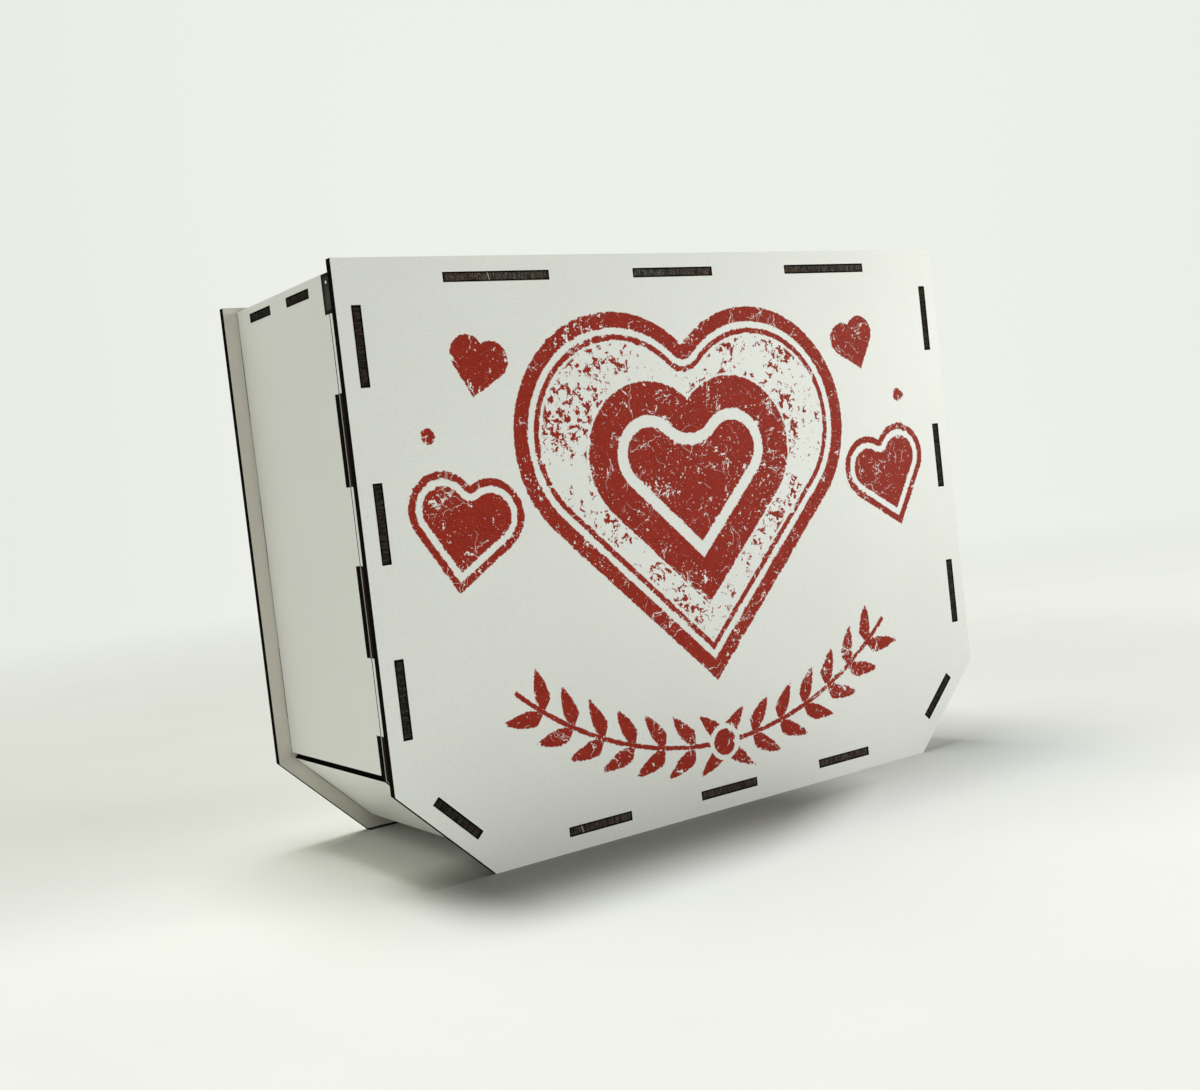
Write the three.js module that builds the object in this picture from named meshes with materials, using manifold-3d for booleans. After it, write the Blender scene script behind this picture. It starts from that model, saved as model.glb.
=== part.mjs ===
// Storage chest: a shallow box with two cut corners, made of 3 mm white-faced
// hardboard panels that are finger-jointed and glued, with a hinged tray lid.
//
// Millimetres, +Z up. The chest stands on the lower edges of its two large
// plates: the lid faces -Y, the base plate faces +Y, the hinge runs along the
// top. Origin: middle of the footprint, on the surface the chest stands on.

import * as THREE from 'three';
import { mergeVertices } from 'three/addons/utils/BufferGeometryUtils.js';
import Module from 'manifold-3d';

const wasm = await Module();
wasm.setup();

// ---------------------------------------------------------------- dimensions
const SHEET = 3;            // hardboard thickness
const KERF = 0.1;           // play between a tab and its slot, all round
const SHY = 0.1;            // tab ends stop this far short of the plate's face

const PLATE_W = 250;        // lid plate and base plate, along X
const PLATE_H = 191.8;      // and along Z
const CORNER = 30.8;        // both lower corners are cut at 45 degrees
const OVERHANG = 5;         // the plates stand proud of the walls by this much
const DEPTH = 97.6;         // lid face to base face, along Y

const LID_DEPTH = 15.9;     // lid face to the meeting face of the lid's rim
const RIM_GAP = 0.5;        // daylight between the two rims
const RIM_WIDTH = 12;       // rim frames, from the walls' outer faces inwards

const TOP_INSET_BODY = 4.1; // body's top wall below the plates' top edge
const TOP_INSET_LID = 4.95; // lid's top wall below the plates' top edge
const SIDE_TOP = 1.7;       // body's side walls end this far below that edge
const CORNER_END = 1.35;    // walls stop short of the point where their outer faces would meet

// tabs and slots: [middle, length]. On the sides the middle is measured down
// from the plates' top edge, on top and bottom from the middle of the chest.
const SIDE_TABS = [[26.4, 24.4], [79.5, 24.4], [132.6, 24.4]];
const TOP_TABS = [[-69.2, 38.4], [0, 33.5], [69.2, 38.4]];
const BOTTOM_TABS = [[-53.9, 24.5], [0, 24.5], [53.9, 24.5]];
const CORNER_TAB = 19.4;
const CROSS_TABS = [[30.3, 49.1], [63.6, 82.6]];   // top wall's tabs through the side walls, behind the lid's face

// hinge: a steel pin through a cheek on the body into a lug on the lid
const PIN_DROP = 4.65;      // pin axis below the plates' top edge
const PIN_BACK = 15.6;      // pin axis behind the lid's face
const PIN_R = 0.5;
const PIN_PROUD = 0.35;
const CHEEK_HOLE_R = 0.95;
const CHEEK_TOP = 1.8;      // below the plates' top edge
const CHEEK_BOTTOM = 13.8;
const CHEEK_FRONT = 13.05;  // behind the lid's face
const LUG_HOLE_R = 0.6;
const LUG_R = 2.85;
const LUG_W = 2 * SHEET;
const LUG_PLAY = 0.3;       // lug to the side wall, and to the ends of the lid's top wall
const NOSE = 11.3;          // lid's side walls pass in front of the cheek, to this depth

// ------------------------------------------------------------ derived planes
const behind = d => -DEPTH / 2 + d;              // Y of a plane d behind the lid's face
const down = d => PLATE_H - d;                   // Z of a line d below the plates' top edge
const W2 = PLATE_W / 2;
const XO = W2 - OVERHANG;                        // outer faces of the side walls
const XI = XO - SHEET;                           // inner faces of the side walls
const CUT = CORNER + OVERHANG * (Math.SQRT2 - 1);// the walls' cut corners are a little larger
const X_CUT = W2 - CUT;                          // where the bottom wall's line ends
const C45 = Math.SQRT1_2;
const CORNER_LEN = (XO - X_CUT) * Math.SQRT2;    // outer face of a cut corner's wall

const LID = {                                    // Y of the lid's planes
  plate: behind(SHEET), tab: behind(SHY), rim: behind(LID_DEPTH - SHEET), meet: behind(LID_DEPTH), in: 1
};
const BODY = {                                   // Y of the body's planes
  plate: behind(DEPTH - SHEET), tab: behind(DEPTH - SHY), rim: behind(LID_DEPTH + RIM_GAP + SHEET), meet: behind(LID_DEPTH + RIM_GAP), in: -1
};
const LUG_X = XI - LUG_PLAY - LUG_W - LUG_PLAY;  // the lid's top wall ends here

// ----------------------------------------------------------------- materials
const laminate = () => new THREE.MeshStandardMaterial({ color: 0xe6e7e2, roughness: 0.42, metalness: 0 });
const board = () => new THREE.MeshStandardMaterial({ color: 0x5b5048, roughness: 0.85, metalness: 0 });
const steel = () => new THREE.MeshStandardMaterial({ color: 0xc9c9c6, roughness: 0.3, metalness: 1 });

// ------------------------------------------------------------------- helpers
const chest = new THREE.Group();
const V = (x, y, z) => new THREE.Vector3(x, y, z);
const path = (Kind, pts) => new Kind(pts.map(p => new THREE.Vector2(p[0], p[1])));

function extruded(points, z, depth, options = {}) {
  const g = new THREE.ExtrudeGeometry(path(THREE.Shape, points), { depth, bevelEnabled: false, ...options });
  g.translate(0, 0, z);
  g.deleteAttribute('normal');
  g.deleteAttribute('uv');
  return mergeVertices(g, 1e-5);
}
const solid = g => new wasm.Manifold(new wasm.Mesh({
  numProp: 3, vertProperties: new Float32Array(g.attributes.position.array), triVerts: new Uint32Array(g.index.array)
}));
function geometry(s) {
  const mesh = s.getMesh(), g = new THREE.BufferGeometry();
  g.setAttribute('position', new THREE.BufferAttribute(mesh.vertProperties, 3));
  g.setIndex(new THREE.BufferAttribute(mesh.triVerts, 1));
  return g;
}

// A piece cut from sheet: an outline with holes in the plane of u and v,
// extruded by its thickness along u x v from the point at.
function panel(name, outline, holes, at, u, v, thickness, material, bevel = {}) {
  let g = extruded(outline, 0, thickness, bevel);
  if (holes.length) {
    let s = solid(g);
    for (const h of holes) s = s.subtract(solid(extruded(h, -1, thickness + 2)));
    g = geometry(s);
  }
  g.computeVertexNormals();
  const m = new THREE.Mesh(g, material);
  m.name = name;
  m.setRotationFromMatrix(new THREE.Matrix4().makeBasis(u, v, new THREE.Vector3().crossVectors(u, v)));
  m.position.copy(at);
  chest.add(m);
}

const rect = (cx, cy, lx, ly) => [
  [cx - lx / 2, cy - ly / 2], [cx + lx / 2, cy - ly / 2], [cx + lx / 2, cy + ly / 2], [cx - lx / 2, cy + ly / 2]
];
function arc(cx, cy, r, a0, a1, n) {
  return Array.from({ length: n + 1 }, (_, i) => {
    const a = THREE.MathUtils.degToRad(a0 + (a1 - a0) * i / n);
    return [cx + r * Math.cos(a), cy + r * Math.sin(a)];
  });
}
const circle = (cx, cy, r, n) => arc(cx, cy, r, 0, 360 * (n - 1) / n, n - 1);
const mirrored = pts => pts.map(([x, y]) => [-x, y]).reverse();
const spans = tabs => tabs.map(([c, l]) => [c - l / 2, c + l / 2]);

// points of an edge along s at height y0 that steps to y1 over each span
const battlement = (y0, y1, list) => list.flatMap(([a, b]) => [[a, y0], [a, y1], [b, y1], [b, y0]]);

// points from P towards Q in the plane of the plates, with notches of a given
// depth to the left of travel
function notched(P, Q, list, depth) {
  const L = Math.hypot(Q[0] - P[0], Q[1] - P[1]);
  const d = [(Q[0] - P[0]) / L, (Q[1] - P[1]) / L], n = [-d[1], d[0]];
  const at = (s, h) => [P[0] + d[0] * s + n[0] * h, P[1] + d[1] * s + n[1] * h];
  return [P, ...list.flatMap(([a, b]) => [at(a, 0), at(a, depth), at(b, depth), at(b, 0)])];
}

// ------------------------------------------------- lid plate and base plate
const plateOutline = [
  [-W2, PLATE_H], [-W2, CORNER], [-W2 + CORNER, 0], [W2 - CORNER, 0], [W2, CORNER], [W2, PLATE_H]
];
function plateSlots(topInset) {
  const w = SHEET + 2 * KERF, k = 2 * KERF, out = [];
  for (const s of [-1, 1]) {
    for (const [c, l] of SIDE_TABS) out.push(rect(s * (XO - SHEET / 2), down(c), w, l + k));
    const mx = (XO + X_CUT) / 2 - SHEET / 2 * C45, mz = (CUT + OVERHANG) / 2 + SHEET / 2 * C45;
    out.push(rect(0, 0, CORNER_TAB + k, w).map(([a, b]) => [s * mx + (a - s * b) * C45, mz + (s * a + b) * C45]));
  }
  for (const [c, l] of TOP_TABS) out.push(rect(c, down(topInset + SHEET / 2), l + k, w));
  for (const [c, l] of BOTTOM_TABS) out.push(rect(c, OVERHANG + SHEET / 2, l + k, w));
  return out;
}
panel('lid_plate', plateOutline, plateSlots(TOP_INSET_LID), V(0, LID.plate, 0), V(1, 0, 0), V(0, 0, 1), SHEET, laminate());
panel('base_plate', plateOutline, plateSlots(TOP_INSET_BODY), V(0, DEPTH / 2, 0), V(1, 0, 0), V(0, 0, 1), SHEET, laminate());

// --------------------------------------------------------------------- walls
// A wall's outline is in (s, y): s along its outer face, seen in the plane of
// the plates, and y the chest's own. Its sheet grows inwards. One long edge
// has tabs into the plate, the other has the same tabs through the rim frame.
function outline(p, s0, s1, tabs, ends = {}) {
  const plateY = p.plate + p.in * KERF, rimY = p.rim - p.in * KERF;
  return [
    [s0, plateY], ...battlement(plateY, p.tab, spans(tabs)), [s1, plateY],
    ...(ends.far ?? []),
    ...(ends.rim ?? [[s0, rimY], ...battlement(rimY, p.meet, spans(tabs)), [s1, rimY]]).slice().reverse(),
    ...(ends.near ?? [])
  ];
}
function wall(name, from, dir, pts, holes = []) {
  panel(name, pts, holes, V(from[0], 0, from[1]), V(dir[0], 0, dir[1]), V(0, 1, 0), SHEET, laminate());
}
const SIDE_END = down(CUT) - CORNER_END;         // lower ends of the side walls
const BOTTOM_END = X_CUT - CORNER_END;
const cornerTabs = [[CORNER_LEN / 2, CORNER_TAB]];

for (const [part, p] of [['body', BODY], ['lid', LID]]) {
  wall(`${part}_wall_bottom`, [0, OVERHANG], [1, 0], outline(p, -BOTTOM_END, BOTTOM_END, BOTTOM_TABS));
  const corner = outline(p, CORNER_END, CORNER_LEN - CORNER_END, cornerTabs);
  wall(`${part}_wall_corner_left`, [-XO, CUT], [C45, -C45], corner);
  wall(`${part}_wall_corner_right`, [X_CUT, OVERHANG], [C45, C45], corner);
}

// the body's side walls, with slots for the top wall's cross tabs
{
  const pts = outline(BODY, SIDE_TOP, SIDE_END, SIDE_TABS);
  const slots = CROSS_TABS.map(([a, b]) =>
    rect(TOP_INSET_BODY + SHEET / 2, behind((a + b) / 2), SHEET + 2 * KERF, b - a + 2 * KERF));
  wall('body_wall_left', [-XO, PLATE_H], [0, -1], pts, slots);
  wall('body_wall_right', [XO, PLATE_H], [0, 1], mirrored(pts), slots.map(mirrored));
}
// the lid's side walls step back from the hinge cheek
{
  const rimY = LID.rim - KERF, [first, ...rest] = spans(SIDE_TABS);
  const rim = [
    [TOP_INSET_LID, behind(NOSE)], [first[0], behind(NOSE)], [first[0], LID.meet], [first[1], LID.meet], [first[1], rimY],
    ...battlement(rimY, LID.meet, rest), [SIDE_END, rimY]
  ];
  const pts = outline(LID, TOP_INSET_LID, SIDE_END, SIDE_TABS, { rim });
  wall('lid_wall_left', [-XO, PLATE_H], [0, -1], pts);
  wall('lid_wall_right', [XO, PLATE_H], [0, 1], mirrored(pts));
}
// the top walls: the body's reaches through the side walls, the lid's ends at
// the hinge lugs
{
  const e = XI - KERF, t = XO - SHY;
  const far = CROSS_TABS.slice().reverse().flatMap(([a, b]) => [[e, behind(b)], [t, behind(b)], [t, behind(a)], [e, behind(a)]]);
  const pts = outline(BODY, -e, e, TOP_TABS, { far, near: mirrored(far) });
  wall('body_wall_top', [0, down(TOP_INSET_BODY)], [-1, 0], pts);
  wall('lid_wall_top', [0, down(TOP_INSET_LID)], [-1, 0], outline(LID, -LUG_X, LUG_X, TOP_TABS));
}

// ---------------------------------------------------------------- rim frames
// flat rings glued into the open edge of the body and of the lid. Their edges
// lie flush with the walls' outer faces between the walls' fingers.
function frameOutline(topInset, lugBottom, lugX) {
  const depth = SHEET + KERF, wide = tabs => spans(tabs).map(([a, b]) => [a - KERF, b + KERF]);
  const xs = XO - depth, [first, ...rest] = wide(SIDE_TABS);
  const left = [
    [-lugX, down(topInset)], [-lugX, down(lugBottom)], [-xs, down(lugBottom)], [-xs, down(first[1])],
    ...notched([-XO, down(first[1])], [-XO, CUT], rest.map(([a, b]) => [a - first[1], b - first[1]]), depth),
    ...notched([-XO, CUT], [-X_CUT, OVERHANG], wide(cornerTabs), depth)
  ];
  const bottom = notched([-X_CUT, OVERHANG], [X_CUT, OVERHANG], wide(BOTTOM_TABS).map(([a, b]) => [a + X_CUT, b + X_CUT]), depth);
  const top = notched([lugX, down(topInset)], [-lugX, down(topInset)], wide(TOP_TABS).map(([a, b]) => [a + lugX, b + lugX]), depth);
  return [...left, ...bottom, [X_CUT, OVERHANG], ...mirrored(left).slice(1, -1), ...top];
}
function frameHole(topInset) {
  const x = XO - RIM_WIDTH, k = RIM_WIDTH * (Math.SQRT2 - 1);
  const left = [[-x, down(topInset + RIM_WIDTH)], [-x, CUT + k], [-X_CUT + k, OVERHANG + RIM_WIDTH]];
  return [...left, ...mirrored(left)];
}
panel('body_rim_frame', frameOutline(TOP_INSET_BODY, PIN_DROP + LUG_R + 0.7, LUG_X - 0.1), [frameHole(TOP_INSET_BODY)],
  V(0, BODY.rim, 0), V(1, 0, 0), V(0, 0, 1), SHEET, laminate());
panel('lid_rim_frame', frameOutline(TOP_INSET_LID, PIN_DROP + LUG_R + 0.1, LUG_X), [frameHole(TOP_INSET_LID)],
  V(0, LID.meet, 0), V(1, 0, 0), V(0, 0, 1), SHEET, laminate());

// -------------------------------------------------------------------- hinges
// cheek on the body, flush with the side wall; lug on the lid beside it; pin
const py = behind(PIN_BACK), pz = down(PIN_DROP);
const cheek = [
  [behind(LID_DEPTH + RIM_GAP + SHEET), down(CHEEK_BOTTOM)], [behind(LID_DEPTH + RIM_GAP + SHEET), down(CHEEK_TOP)],
  ...arc(behind(CHEEK_FRONT) + 2, down(CHEEK_TOP) - 2, 2, 90, 180, 10),
  ...arc(behind(CHEEK_FRONT) + 1.2, down(CHEEK_BOTTOM) + 1.2, 1.2, 180, 270, 8)
];
const lug = [
  [LID.plate + KERF, pz + LUG_R], [LID.plate + KERF, pz - LUG_R],
  ...arc(py, pz, LUG_R, -90, 90, 20)
];
for (const [side, s] of [['left', -1], ['right', 1]]) {
  const at = (inner, outer) => (s < 0 ? -outer : inner);   // lower x of a piece between two distances from the middle
  panel(`hinge_cheek_${side}`, cheek, [circle(py, pz, CHEEK_HOLE_R, 28)],
    V(at(XI, XO), 0, 0), V(0, 1, 0), V(0, 0, 1), SHEET, board());
  const li = XI - LUG_PLAY - LUG_W, lo = XI - LUG_PLAY;
  panel(`hinge_lug_${side}`, lug, [circle(py, pz, LUG_HOLE_R, 24)],
    V(at(li, lo), 0, 0), V(0, 1, 0), V(0, 0, 1), LUG_W, board());
  const pi = li + 0.6, po = XO + PIN_PROUD, b = 0.18;
  panel(`hinge_pin_${side}`, circle(0, 0, PIN_R - b, 24), [],
    V(at(pi, po) + b, py, pz), V(0, 1, 0), V(0, 0, 1), po - pi - 2 * b, steel(),
    { bevelEnabled: true, bevelThickness: b, bevelSize: b, bevelSegments: 3 });
}

export default chest;
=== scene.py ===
"""Looks of the storage chest: finishes of its boards and hinge, the print on the lid, studio and camera.

Metres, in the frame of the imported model: the chest stands on z = 0, the lid faces -Y, the hinge runs along the top.
"""

import math

import bmesh
import bpy
from mathutils import Matrix, Vector

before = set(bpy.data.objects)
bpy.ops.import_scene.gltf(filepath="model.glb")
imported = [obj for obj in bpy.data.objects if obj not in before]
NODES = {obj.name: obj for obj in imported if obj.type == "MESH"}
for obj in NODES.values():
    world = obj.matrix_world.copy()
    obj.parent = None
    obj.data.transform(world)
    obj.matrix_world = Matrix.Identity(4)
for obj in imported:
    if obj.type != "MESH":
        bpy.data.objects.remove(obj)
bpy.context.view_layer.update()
MM = 0.001
SCENE = bpy.context.scene
C45 = math.sqrt(0.5)


# ------------------------------------------------------------------ node trees
class Tree:
    """A material's node tree, with short calls for the nodes used below."""

    def __init__(self, name):
        self.material = bpy.data.materials.new(name)
        self.material.use_nodes = True
        self.tree = self.material.node_tree
        self.tree.nodes.clear()
        self.out = self.new("ShaderNodeOutputMaterial")

    def new(self, kind, inputs=None, **settings):
        node = self.tree.nodes.new(kind)
        for key, value in settings.items():
            setattr(node, key, value)
        for key, value in (inputs or {}).items():
            self.put(node.inputs[key], value)
        return node

    def put(self, socket, value):
        value = getattr(value, "socket", value)
        if isinstance(value, bpy.types.NodeSocket):
            self.tree.links.new(value, socket)
        else:
            socket.default_value = value

    def math(self, operation, *values, clamp=False):
        node = self.new("ShaderNodeMath", dict(enumerate(values)), operation=operation, use_clamp=clamp)
        return Num(self, node.outputs[0])

    def vector(self, operation, *values, scale=None):
        node = self.new("ShaderNodeVectorMath", dict(enumerate(values)), operation=operation)
        if scale is not None:
            self.put(node.inputs["Scale"], scale)
        return node.outputs["Value" if operation in ("DOT_PRODUCT", "LENGTH", "DISTANCE") else "Vector"]

    def dot(self, a, b):
        return Num(self, self.vector("DOT_PRODUCT", a, b))

    def smooth(self, x, low, high):
        """0 below low, 1 above high, smooth in between; low may be above high."""
        node = self.new("ShaderNodeMapRange", {0: x, 1: low, 2: high, 3: 0.0, 4: 1.0}, interpolation_type="SMOOTHSTEP")
        return Num(self, node.outputs[0])

    def mix(self, factor, a, b, blend="MIX"):
        node = self.new("ShaderNodeMix", data_type="RGBA", blend_type=blend)
        for socket, value in ((node.inputs[0], factor), (node.inputs[6], a), (node.inputs[7], b)):
            self.put(socket, value)
        return node.outputs[2]

    def noise(self, vector, scale, detail=2.0, roughness=0.5, distortion=0.0, colour=False, lacunarity=2.0):
        node = self.new("ShaderNodeTexNoise", {"Vector": vector, "Scale": scale, "Detail": detail, "Roughness": roughness,
                                               "Lacunarity": lacunarity, "Distortion": distortion})
        return node.outputs["Color"] if colour else Num(self, node.outputs[0])

    def cells(self, vector, scale, randomness=1.0, feature="F1", output="Distance"):
        node = self.new("ShaderNodeTexVoronoi", {"Vector": vector, "Scale": scale, "Randomness": randomness}, feature=feature)
        return Num(self, node.outputs[output]) if output == "Distance" else node.outputs[output]

    def place(self):
        """Object coordinates in millimetres."""
        at = self.new("ShaderNodeTexCoord")
        return self.vector("SCALE", at.outputs["Object"], scale=1000.0), at.outputs["Normal"]

    def split(self, vector):
        node = self.new("ShaderNodeSeparateXYZ", {0: vector})
        return [Num(self, s) for s in node.outputs]

    def join(self, x, y, z):
        return self.new("ShaderNodeCombineXYZ", {0: x, 1: y, 2: z}).outputs[0]

    def bump(self, height, distance, strength=1.0, normal=None):
        inputs = {"Height": height, "Distance": distance, "Strength": strength}
        if normal is not None:
            inputs["Normal"] = normal
        return self.new("ShaderNodeBump", inputs).outputs[0]


class Num:
    """A number in a node tree. Its operators add Math nodes."""

    def __init__(self, tree, socket):
        self.tree, self.socket = tree, socket

    def __add__(self, other):
        return self.tree.math("ADD", self, other)

    def __sub__(self, other):
        return self.tree.math("SUBTRACT", self, other)

    def __rsub__(self, other):
        return self.tree.math("SUBTRACT", other, self)

    def __mul__(self, other):
        return self.tree.math("MULTIPLY", self, other)

    def __truediv__(self, other):
        return self.tree.math("DIVIDE", self, other)

    def __neg__(self):
        return self.tree.math("MULTIPLY", self, -1.0)

    def __abs__(self):
        return self.tree.math("ABSOLUTE", self)

    def low(self, other):
        return self.tree.math("MINIMUM", self, other)

    def high(self, other):
        return self.tree.math("MAXIMUM", self, other)

    def sqrt(self):
        return self.tree.math("SQRT", self)

    __radd__ = __add__
    __rmul__ = __mul__


# ------------------------------------------------------------------- materials
WHITE = (0.790, 0.800, 0.765)
INK = (0.270, 0.0175, 0.0070)
SOOT = ((0.0035, 0.0030, 0.0026), (0.0110, 0.0092, 0.0078))     # dark and light tones of a burnt edge
TAB = ((0.0110, 0.0105, 0.0085), (0.0800, 0.0790, 0.0690), (0.0150, 0.0110, 0.0085), (0.0960, 0.0740, 0.0600))  # tab ends: grey, brown
UMBER = ((0.0140, 0.0085, 0.0072), (0.0480, 0.0290, 0.0245))    # of the lid's rim frame


def shade(rgb, k=1.0):
    return (min(1.0, rgb[0] * k), min(1.0, rgb[1] * k), min(1.0, rgb[2] * k), 1.0)


def board(name, axis, middle, edge=SOOT, sets=(), tone=1.0, warm=0.0, seam=0.0, nicks=(), base=False, printed=False):
    """3 mm hardboard with a white lacquered skin on both faces. axis is the sheet's normal and middle where its middle
    plane lies along it, in mm. Faces across the axis are skin; the others are laser-cut edges. Each set is a direction,
    the way its tabs' ends face and (middle, length) of every tab; those ends are lighter by tone and browner by warm, with
    a burnt outline.
    seam is the width of the scorched line where a wall meets the base plate. nicks are pale marks on the first set."""
    t = Tree(name)
    p, n = t.place()
    across = t.dot(p, axis) - middle
    face = abs(t.dot(n, axis))

    # the skin: fine orange peel, a faint mottle and a few specks of dust
    fine = t.noise(p, 1.35, 2.0, 0.6)
    wide = t.noise(p, 0.021, 3.0, 0.55)
    skin = t.mix(t.smooth(wide, 0.3, 0.7), shade(WHITE, 0.985), shade(WHITE, 1.012))
    skin = t.mix(t.smooth(fine, 0.25, 0.75) * (0.26 if printed else 0.05), skin, (0.60, 0.60, 0.57, 1))
    seed = t.cells(p, 0.115)
    dust = t.smooth(seed, 0.036, 0.020) * t.smooth(t.noise(p, 0.05, 1.0), 0.52, 0.62)
    skin = t.mix(dust * 0.35, skin, (0.30, 0.27, 0.23, 1))
    gloss = t.math("MULTIPLY_ADD", fine, 0.10, 0.33)
    sheen = 0.28

    if base:
        # the inner face is duller and warmer, partly the board's own colour and partly painted shade, and along its
        # lower edge it has a painted contact shadow where it meets the floor
        inner = t.smooth(across, -1.2, -1.4)
        skin = t.mix(inner * 0.55, skin, (0.600, 0.545, 0.452, 1))
        x, _, z = t.split(p)
        painted_contact_shadow = t.smooth(z + (t.noise(p, 0.6, 2.0) - 0.5) * 0.5, 1.05, 0.70)
        skin = t.mix(inner * painted_contact_shadow, skin, shade(SOOT[1], 1.3))
    if seam:
        _, y, _ = t.split(p)
        line = t.smooth(y + (t.noise(p, 0.5, 2.0) - 0.5) * 0.25, 45.62 - seam, 45.74 - seam)
        skin = t.mix(line * 0.88, skin, shade(SOOT[1], 2.2))

    if printed:
        ink = lid_print(t, p)
        red = t.mix(t.smooth(t.noise(p, 0.32, 3.0, 0.6), 0.35, 0.70), shade(INK), shade(INK, 1.16))
        ink = ink * t.smooth(across, -1.2, -1.4)
        thin = t.smooth(t.noise(p, 2.4, 3.0, 0.7), 0.50, 0.70)
        skin = t.mix(ink * (1.0 - thin * 0.07), skin, red)
        gloss = t.math("MULTIPLY_ADD", ink, 0.10, gloss)
        sheen = t.math("MULTIPLY_ADD", ink, -0.23, sheen)

    # the cut edge: striations of the beam through the sheet
    flat = t.vector("SUBTRACT", p, t.vector("SCALE", axis, scale=across))
    stripe = t.noise(t.vector("ADD", t.vector("SCALE", flat, scale=2.2), t.vector("SCALE", axis, scale=across * 0.25)), 1.0, 3.0, 0.65)
    fibre = t.noise(p, 3.4, 2.0, 0.6)
    streak = t.smooth(stripe * 0.58 + fibre * 0.42, 0.36, 0.66)
    cut = t.mix(streak, shade(edge[0]), shade(edge[1]))
    cut = t.mix(t.smooth(abs(across), 1.02, 1.42) * 0.85, cut, shade(edge[0], 0.6))
    wobble = (t.noise(p, 0.9, 2.0) - 0.5) * 0.40
    grit = t.smooth(t.noise(p, 2.1, 2.0, 0.7) * 0.5 + streak * 0.5, 0.30, 0.85)
    for along, tab_axis, tabs in sets:
        end = t.smooth(abs(t.dot(n, tab_axis)), 0.75, 0.92)
        s = t.dot(p, along)
        rim = None
        for centre, length in tabs:
            gap = abs(abs(s - centre) - length / 2)
            rim = gap if rim is None else rim.low(gap)
        burnt = t.smooth(rim + wobble, 0.72, 0.30).high(t.smooth(abs(across) + wobble, 0.90, 1.30))
        if tab_axis[1]:
            hue = t.smooth(t.noise(p, 0.045, 2.0), 0.42 - warm, 0.58 - warm)
        else:
            hue = t.smooth(t.split(p)[1], 12.0, 2.0)
        brown = t.mix(grit, t.mix(hue, shade(TAB[0], tone), shade(TAB[2], tone)), t.mix(hue, shade(TAB[1], tone), shade(TAB[3], tone)))
        for mark in nicks if tab_axis[1] else ():
            pale = t.smooth(abs(s - mark + across * 0.22), 0.26, 0.12) * t.smooth(t.dot(p, tab_axis), -20.0, -40.0)
            brown = t.mix(pale, brown, (0.34, 0.31, 0.28, 1))
        cut = t.mix(end, cut, t.mix(burnt, brown, shade(SOOT[0], 0.6)))

    is_face = t.smooth(face, 0.55, 0.80)
    height = t.mix(is_face, t.join(stripe, stripe, stripe), t.join(fine * 0.25, fine * 0.25, fine * 0.25))
    shader = t.new("ShaderNodeBsdfPrincipled", {
        "Base Color": t.mix(is_face, cut, skin), "Roughness": t.math("MULTIPLY_ADD", is_face, gloss - 0.85, 0.85),
        "IOR": 1.48, "Specular IOR Level": t.math("MULTIPLY", is_face, sheen),
        "Normal": t.bump(height, 0.00007, 0.8)})
    t.put(t.out.inputs[0], shader.outputs[0])
    return t.material


def heart(t, x, z, cx, cz, size, turn=0.0):
    """Distance in mm to a heart's outline, negative inside. size is its height; turn is in degrees."""
    x, z = x - cx, z - cz
    if turn:
        c, s = math.cos(math.radians(turn)), math.sin(math.radians(turn))
        x, z = x * c + z * s, z * c - x * s
    k = size / 1.1036
    x, z = abs(x) / k, z / k + 0.55
    lobe_x, lobe_z = x - 0.25, z - 0.75
    lobe = (lobe_x * lobe_x + lobe_z * lobe_z).sqrt() - math.sqrt(2) / 4
    tip_z = z - 1.0
    m = (x + z).high(0.0) * 0.5
    side_x, side_z = x - m, z - m
    near = (x * x + tip_z * tip_z).low(side_x * side_x + side_z * side_z).sqrt()
    inside = t.math("SIGN", x - z)
    rest = near * inside
    upper = t.math("GREATER_THAN", x + z, 1.0)
    return (upper * (lobe - rest) + rest) * k


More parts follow.
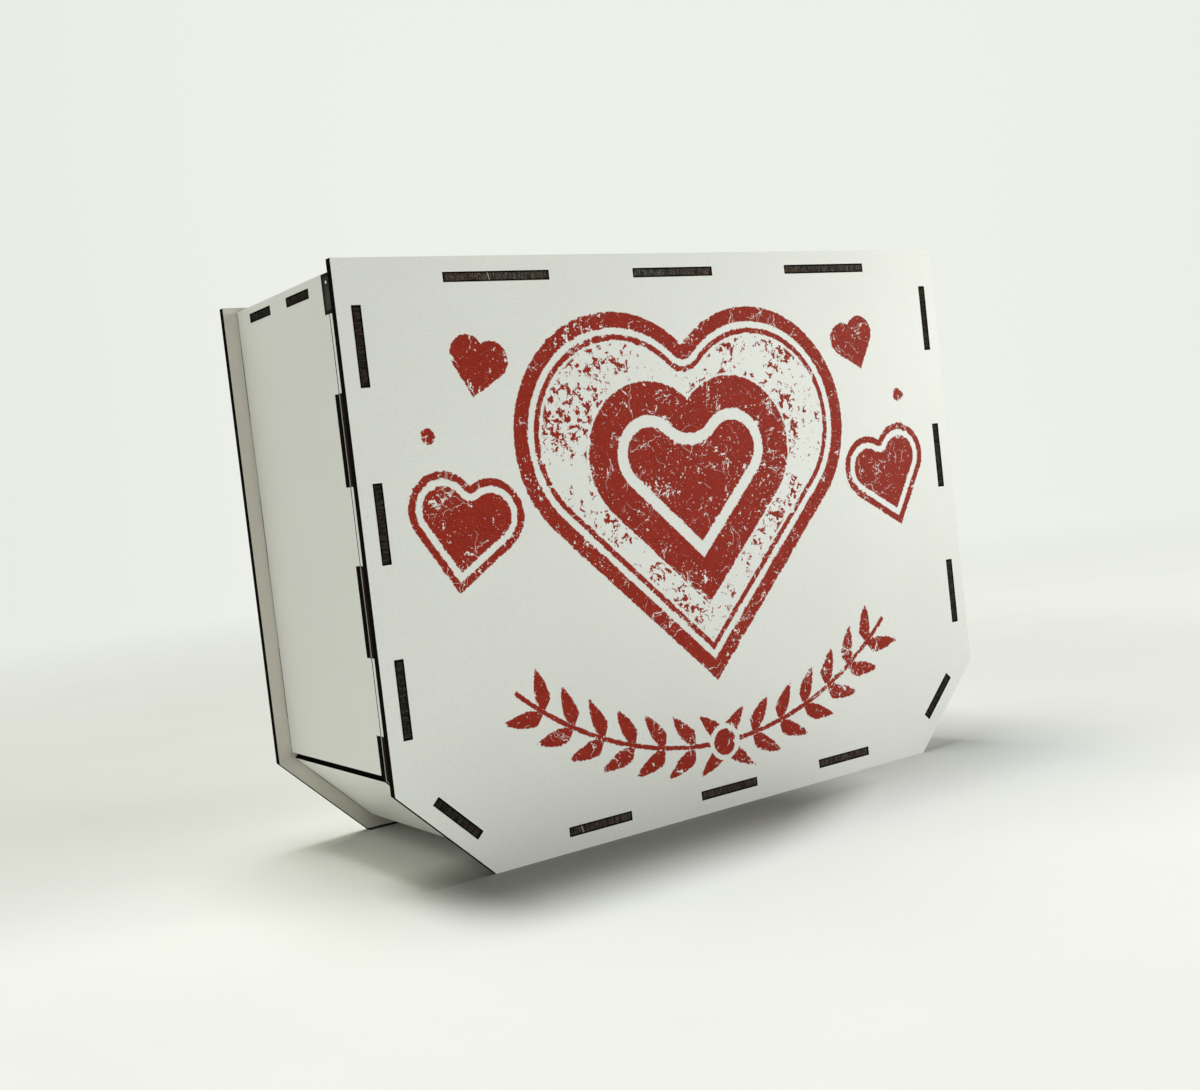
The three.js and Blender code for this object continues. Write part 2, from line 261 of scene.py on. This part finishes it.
def lid_print(t, p):
    """How much ink lies at p, 0 to 1: a worn stamp of hearts over a leafy garland."""
    x, _, z = t.split(p)
    rag = t.noise(p, 0.95, 3.0, 0.75) - 0.5         # a slightly ragged edge, as from a dry stamp
    mx = abs(x)

    big = heart(t, mx, z, 0, 108.5, 128)
    field = big + 9.6                               # below 0: the bare band inside the lines
    core = heart(t, mx, z, 0, 110, 78)
    hole = core + 11.5
    seed = core + 15.5
    d = (abs(big + 2.6) - 2.6).low(abs(big + 8.4) - 0.95).low(core.high(-hole)).low(seed)

    side = heart(t, mx, z, 91, 106, 37, 13)
    d = d.low(abs(side + 1.2) - 1.2).low(side + 4.6)
    d = d.low(heart(t, mx, z, 80, 157, 19, 16))
    drop_x, drop_z = mx - 100.0, z - 137.0
    d = d.low((drop_x * drop_x + drop_z * drop_z).sqrt() - 2.4)

    # garland: an arc of leaves under the heart
    R, cz, step = 118.0, 141.0, 12.6
    dz = z - cz
    r = (mx * mx + dz * dz).sqrt()
    s = t.math("ARCTAN2", mx, -dz) * R              # 0 straight down
    local = s - (t.math("FLOOR", s / step) * step + step * 0.5)
    off = abs(r - R)
    ca, sa = math.cos(math.radians(40)), math.sin(math.radians(40))
    lx, lz = local + 1.4, off - 5.6
    u, w = lx * ca + lz * sa, lz * ca - lx * sa
    w = w / (1.0 - u * 0.06)                        # leaves are a little wider at the root
    leaf = ((u * u) / (6.8 * 6.8) + (w * w) / (2.5 * 2.5)).sqrt() * 2.5 - 2.5
    garland = leaf.low(off - 0.8).high((s - step * 7.0) * 5.0)
    knot_z = z - (cz - R)
    knot = (mx * mx + knot_z * knot_z).sqrt()
    d = d.low(garland.high(6.4 - knot)).low(knot - 4.6)

    # wear: clumps of flaked ink, nibbled edges and thin scratches
    warp = t.vector("SCALE", t.vector("SUBTRACT", t.noise(p, 0.33, 2.0, 0.6, colour=True), (0.5, 0.5, 0.5)), scale=5.0)
    q = t.vector("ADD", p, warp)
    flakes = t.noise(q, 0.52, 3.0, 0.62)
    clump = t.smooth(t.noise(p, 0.058, 3.0, 0.6), 0.40, 0.68)
    ink = t.smooth(d + rag * 1.2 + (flakes - 0.5) * (clump * 2.6 + 0.4), 0.14, -0.14)
    ink = ink * t.smooth(flakes + clump * 0.105, 0.712, 0.694)
    grit = t.noise(p, 1.15, 2.0, 0.6)
    ink = ink * t.smooth(grit + clump * 0.05, 0.715, 0.695)
    for turn, shift in ((22, 3.0), (-41, 11.0), (81, 29.0)):
        c, s_ = math.cos(math.radians(turn)), math.sin(math.radians(turn))
        a, b = t.dot(q, (c, 0, s_)), t.dot(q, (-s_, 0, c))
        lines = t.noise(t.join(a * 0.026, b * 0.15, shift), 1.0, 3.0, 0.5)
        short = t.smooth(t.noise(t.join(a * 0.06, b * 0.10, shift + 50.0), 1.0, 1.5, 0.6), 0.575, 0.62)
        ink = ink * (1.0 - t.smooth(abs(lines - 0.5), 0.0075, 0.0030) * short)

    # stray ink on the bare band: clumps of blots with finer crumbs round them
    gap = t.smooth(field, -0.3, -1.2) * t.smooth(core, 0.4, 1.2)
    swarm = t.smooth(t.noise(p, 0.070, 2.0, 0.6), 0.38, 0.64)
    blots = t.smooth(t.noise(t.vector("ADD", q, (40.0, 0.0, 17.0)), 0.42, 3.0, 0.62) + swarm * 0.135, 0.655, 0.672)
    return ink.high(blots * gap)


def bare_board(name, outline=False):
    """Hardboard without the skin: grey-brown pressed fibre, burnt where the beam cut it. outline: the hinge cheeks,
    whose outer face is darker along its back, top and bottom edges."""
    t = Tree(name)
    p, n = t.place()
    flake = t.noise(p, 1.9, 4.0, 0.65)
    fine = t.noise(p, 7.0, 2.0, 0.6)
    tone = t.smooth(flake * 0.7 + fine * 0.3, 0.34, 0.66)
    face = t.mix(tone, (0.034, 0.033, 0.029, 1), (0.070, 0.067, 0.059, 1))
    if outline:
        x, y, z = t.split(p)
        wobble = (t.noise(p, 1.1, 2.0) - 0.5) * 0.5
        # the outer face is darker along its back, top and bottom edges
        near = (-30.35 - y).low(z - 178.4 + 0.25).low(189.4 - z)
        face = t.mix(t.smooth(near + wobble, 1.15, 0.45), face, shade(SOOT[0], 1.8))
        warm = t.smooth(z, 183.5, 186.5) * 0.7
        face = t.mix(warm * t.smooth(near + wobble, 0.6, 1.2), face, (0.042, 0.027, 0.023, 1))
    cut = t.mix(tone, shade(SOOT[0], 1.5), shade(SOOT[1], 1.3))
    is_face = t.smooth(abs(t.dot(n, (1, 0, 0))), 0.75, 0.93)
    shader = t.new("ShaderNodeBsdfPrincipled", {
        "Base Color": t.mix(is_face, cut, face), "Roughness": t.math("MULTIPLY_ADD", fine, 0.15, 0.74),
        "Specular IOR Level": 0.14, "Normal": t.bump(flake * 0.6 + fine * 0.4, 0.00006, 0.7)})
    t.put(t.out.inputs[0], shader.outputs[0])
    return t.material


def steel(name):
    """Drawn steel wire, slightly scratched along its length."""
    t = Tree(name)
    p, n = t.place()
    x, y, z = t.split(p)
    draw = t.noise(t.join(x * 0.6, y * 9.0, z * 9.0), 1.0, 2.0, 0.5)
    stain = t.noise(p, 1.6, 2.0, 0.6)
    colour = t.mix(t.smooth(stain, 0.45, 0.72), (0.86, 0.85, 0.82, 1), (0.62, 0.59, 0.54, 1))
    shader = t.new("ShaderNodeBsdfPrincipled", {
        "Base Color": colour, "Metallic": 1.0, "Roughness": t.math("MULTIPLY_ADD", draw, 0.20, 0.22),
        "Normal": t.bump(draw, 0.00001, 0.5)})
    t.put(t.out.inputs[0], shader.outputs[0])
    return t.material


# sheet normals, and the tabs of each wall, in mm
TOP = 191.8
SIDE_TABS = ((0, 0, 1), (0, 1, 0), [(TOP - 26.4, 24.4), (TOP - 79.5, 24.4), (TOP - 132.6, 24.4)])
TOP_TABS = ((1, 0, 0), (0, 1, 0), [(-69.2, 38.4), (0.0, 33.5), (69.2, 38.4)])
CROSS_TABS = ((0, 1, 0), (1, 0, 0), [(-9.1, 18.8), (24.3, 19.0)])        # top wall, through the side walls
BOTTOM_TABS = ((1, 0, 0), (0, 1, 0), [(-53.9, 24.5), (0.0, 24.5), (53.9, 24.5)])
SLOPE = C45 * (27.87 - 120.0 - 32.87)                                    # middle of a cut corner's wall
KINDS = {
    "plate": ((0, 1, 0), []), "rim_frame": ((0, 1, 0), []),
    "wall_left": ((1, 0, 0), [SIDE_TABS]), "wall_right": ((1, 0, 0), [SIDE_TABS]),
    "wall_top": ((0, 0, 1), [TOP_TABS, CROSS_TABS]), "wall_bottom": ((0, 0, 1), [BOTTOM_TABS]),
    "wall_corner_left": ((C45, 0, C45), [((C45, 0, -C45), (0, 1, 0), [(SLOPE, 19.4)])]),
    "wall_corner_right": ((-C45, 0, C45), [((C45, 0, C45), (0, 1, 0), [(-SLOPE, 19.4)])]),
}
NICKS = {"lid_wall_top": (-72.3,), "lid_wall_bottom": (-61.2,)}          # small pale marks on two tab ends
TONES = {"lid_wall_top": 1.62, "lid_wall_left": 0.70, "lid_wall_bottom": 1.36, "lid_wall_right": 0.78, "body_wall_top": 0.85}


def dress(node, material):
    slots = NODES[node].material_slots
    for s in slots:
        s.material = material
    if not slots:
        NODES[node].data.materials.append(material)


for node, obj in NODES.items():
    kind = next((k for k in sorted(KINDS, key=len, reverse=True) if node.endswith(k)), None)
    if kind is None:
        continue
    axis, sets = KINDS[kind]
    if node == "lid_wall_top":
        sets = sets[:1]
    seam = (0.42 if "corner" in kind or kind == "wall_bottom" else 0.20) if node.startswith("body_wall") else 0.0
    reach = [Vector(axis).dot(v.co) / MM for v in obj.data.vertices]
    middle = (min(reach) + max(reach)) / 2
    dress(node, board(node + "_finish", axis, middle, edge=UMBER if node == "lid_rim_frame" else SOOT, sets=sets,
                      tone=TONES.get(node, 0.75), warm=0.14 if node == "lid_wall_bottom" else 0.0, seam=seam, nicks=NICKS.get(node, ()), base=node == "base_plate", printed=node == "lid_plate"))
    bevel = obj.modifiers.new("eased_edges", "BEVEL")
    bevel.width, bevel.segments, bevel.limit_method, bevel.angle_limit = 0.08 * MM, 2, "ANGLE", math.radians(35)
    bevel.harden_normals = False

BARE = bare_board("bare_board_finish")
CHEEK = bare_board("cheek_finish", outline=True)
STEEL = steel("steel_finish")
for side in ("left", "right"):
    dress("hinge_cheek_" + side, CHEEK)
    dress("hinge_lug_" + side, BARE)
    dress("hinge_pin_" + side, STEEL)


# ---------------------------------------------------------------------- studio
def revolve(name, profile, count):
    """A surface turned about Z from (radius, height) points; the first lies on the axis."""
    mesh = bmesh.new()
    rings = []
    for r, h in profile:
        if r == 0:
            rings.append([mesh.verts.new((0, 0, h))])
        else:
            rings.append([mesh.verts.new((r * math.cos(2 * math.pi * i / count), r * math.sin(2 * math.pi * i / count), h)) for i in range(count)])
    for a, b in zip(rings, rings[1:]):
        for i in range(count):
            j = (i + 1) % count
            if len(a) == 1:
                mesh.faces.new((a[0], b[i], b[j]))
            else:
                mesh.faces.new((a[i], b[i], b[j], a[j]))
    data = bpy.data.meshes.new(name)
    for f in mesh.faces:
        f.smooth = True
    mesh.to_mesh(data)
    mesh.free()
    obj = bpy.data.objects.new(name, data)
    SCENE.collection.objects.link(obj)
    return obj


def floor_finish():
    """Pale matt floor that turns into an evenly lit backdrop further out, brightest behind the chest. Its colour holds
    painted shade: darker towards the back and the left, with a painted soft shadow left of the chest and a painted
    contact shadow in front of the lid.
    """
    t = Tree("studio_floor")
    p, n = t.place()
    x, y, z = t.split(p)
    out = (x * x + y * y).sqrt()
    far = t.smooth(out, 320.0, 1350.0)
    behind = t.smooth(t.dot(t.vector("NORMALIZE", p), (0.5486, 0.8361, 0.0)), 0.30, 0.65)
    grain = t.noise(p, 0.012, 3.0, 0.5)
    colour = t.mix(t.smooth(grain, 0.3, 0.7), (0.792, 0.799, 0.769, 1), (0.808, 0.815, 0.785, 1))
    way = t.dot(t.vector("NORMALIZE", p), (0.836, -0.549, 0.0))        # -1 on the left, 1 on the right
    aside = t.smooth(way, -0.25, 0.45) * t.smooth(out, 260.0, 600.0)
    # painted shade: the floor is darker towards the back (less so on the right) and to the left, with a painted soft
    # shadow left of the chest
    painted_shade = t.smooth(t.dot(p, (0.549, 0.836, 0.0)), -140.0, 90.0) * (1.0 - aside * 0.48) * 0.20
    painted_shade = painted_shade + t.smooth(t.dot(p, (-0.836, 0.549, 0.0)), 0.0, 300.0) * 0.04
    painted_shade = painted_shade + t.smooth(t.vector("DISTANCE", p, (-175.0, 100.0, 0.0)), 140.0, 20.0) * 0.05
    # painted contact shadow: the floor in front of the lid's lower edge is darkened, narrowing towards the right
    slant = x + (-66.0 - y).high(0.0) * 1.4
    front = t.smooth(y, -120.0, -62.0) * t.smooth(y, -12.0, -56.0) * t.smooth(x, -136.0, -102.0) * t.smooth(slant, 70.0, 10.0)
    # the painted shade and the painted shadow darken the floor towards a dark olive tone
    colour = t.mix(painted_shade.high(front * 0.76), colour, (0.026, 0.027, 0.0, 1))
    colour = t.mix(far, colour, (0.05, 0.05, 0.05, 1))
    edge = 1.0 - t.smooth(way, -0.10, -0.60) * 0.065 - t.smooth(way, 0.25, 0.70) * 0.04
    shader = t.new("ShaderNodeBsdfPrincipled", {"Base Color": colour, "Roughness": 0.9, "Specular IOR Level": 0.0,
                                                "Emission Color": (0.815, 0.840, 0.786, 1),
                                                "Emission Strength": far * t.math("MULTIPLY_ADD", behind, 0.42, 0.58) * edge})
    t.put(t.out.inputs[0], shader.outputs[0])
    return t.material


SWEEP = [(0, 0), (0.12, 0), (0.35, 0), (0.8, 0), (1.4, 0), (2.0, 0)]
SWEEP += [(2.0 + 0.9 * math.sin(a), 0.9 - 0.9 * math.cos(a)) for a in (math.radians(7.5 * i) for i in range(1, 13))]
SWEEP += [(2.9, 1.6), (2.9, 2.6)]
floor = revolve("studio_floor", SWEEP, 96)
floor.data.materials.append(floor_finish())

world = bpy.data.worlds.new("studio_light")
SCENE.world = world
world.use_nodes = True
world.node_tree.nodes["Background"].inputs[0].default_value = (0.90, 0.93, 0.90, 1)
world.node_tree.nodes["Background"].inputs[1].default_value = 0.0


def softbox(name, turn, height, size, power, colour, reach=1.3):
    """A square area light, reach metres from the chest's middle. turn: degrees round the chest, 0 in front of the lid
    and 90 on its right; height: degrees above the floor."""
    middle = Vector((0, 0, 0.1))
    a, e = math.radians(turn), math.radians(height)
    at = middle + reach * Vector((math.sin(a) * math.cos(e), -math.cos(a) * math.cos(e), math.sin(e)))
    data = bpy.data.lights.new(name, "AREA")
    data.shape, data.size, data.energy, data.color = "SQUARE", size, power, colour
    obj = bpy.data.objects.new(name, data)
    SCENE.collection.objects.link(obj)
    obj.matrix_world = Matrix.LocRotScale(at, (middle - at).to_track_quat("-Z", "Y"), None)
    obj.visible_camera = False
    return obj


softbox("overhead", 176, 85, 1.00, 37.4, (0.91, 0.94, 1.0), reach=2.4)
softbox("behind_left", 200, 65, 1.30, 20.6, (1.0, 0.97, 0.76), reach=2.4)
softbox("front_right", 58, 7, 0.45, 7.6, (1.0, 0.985, 0.93))
softbox("front", 44, 4, 0.30, 1.5, (0.90, 0.95, 1.0))
softbox("left", 270, 14, 0.50, 0.9, (1.0, 0.92, 0.70))


# ---------------------------------------------------------------------- camera
def camera():
    data = bpy.data.cameras.new("camera")
    data.sensor_width, data.lens = 36.0, 43.347
    data.clip_start, data.clip_end = 0.01, 20
    obj = bpy.data.objects.new("camera", data)
    SCENE.collection.objects.link(obj)
    look = Vector((0.5479, 0.8350, -0.0497)).normalized()
    up = Vector((0.1216, -0.0207, 0.9924))
    up = (up - look * up.dot(look)).normalized()
    right = look.cross(up)
    turn = Matrix((right, up, -look)).transposed()
    obj.matrix_world = Matrix.Translation((-0.3016, -0.4442, 0.1203)) @ turn.to_4x4()
    SCENE.camera = obj
    return obj


camera()
SCENE.view_settings.view_transform = "Standard"
SCENE.view_settings.look = "None"
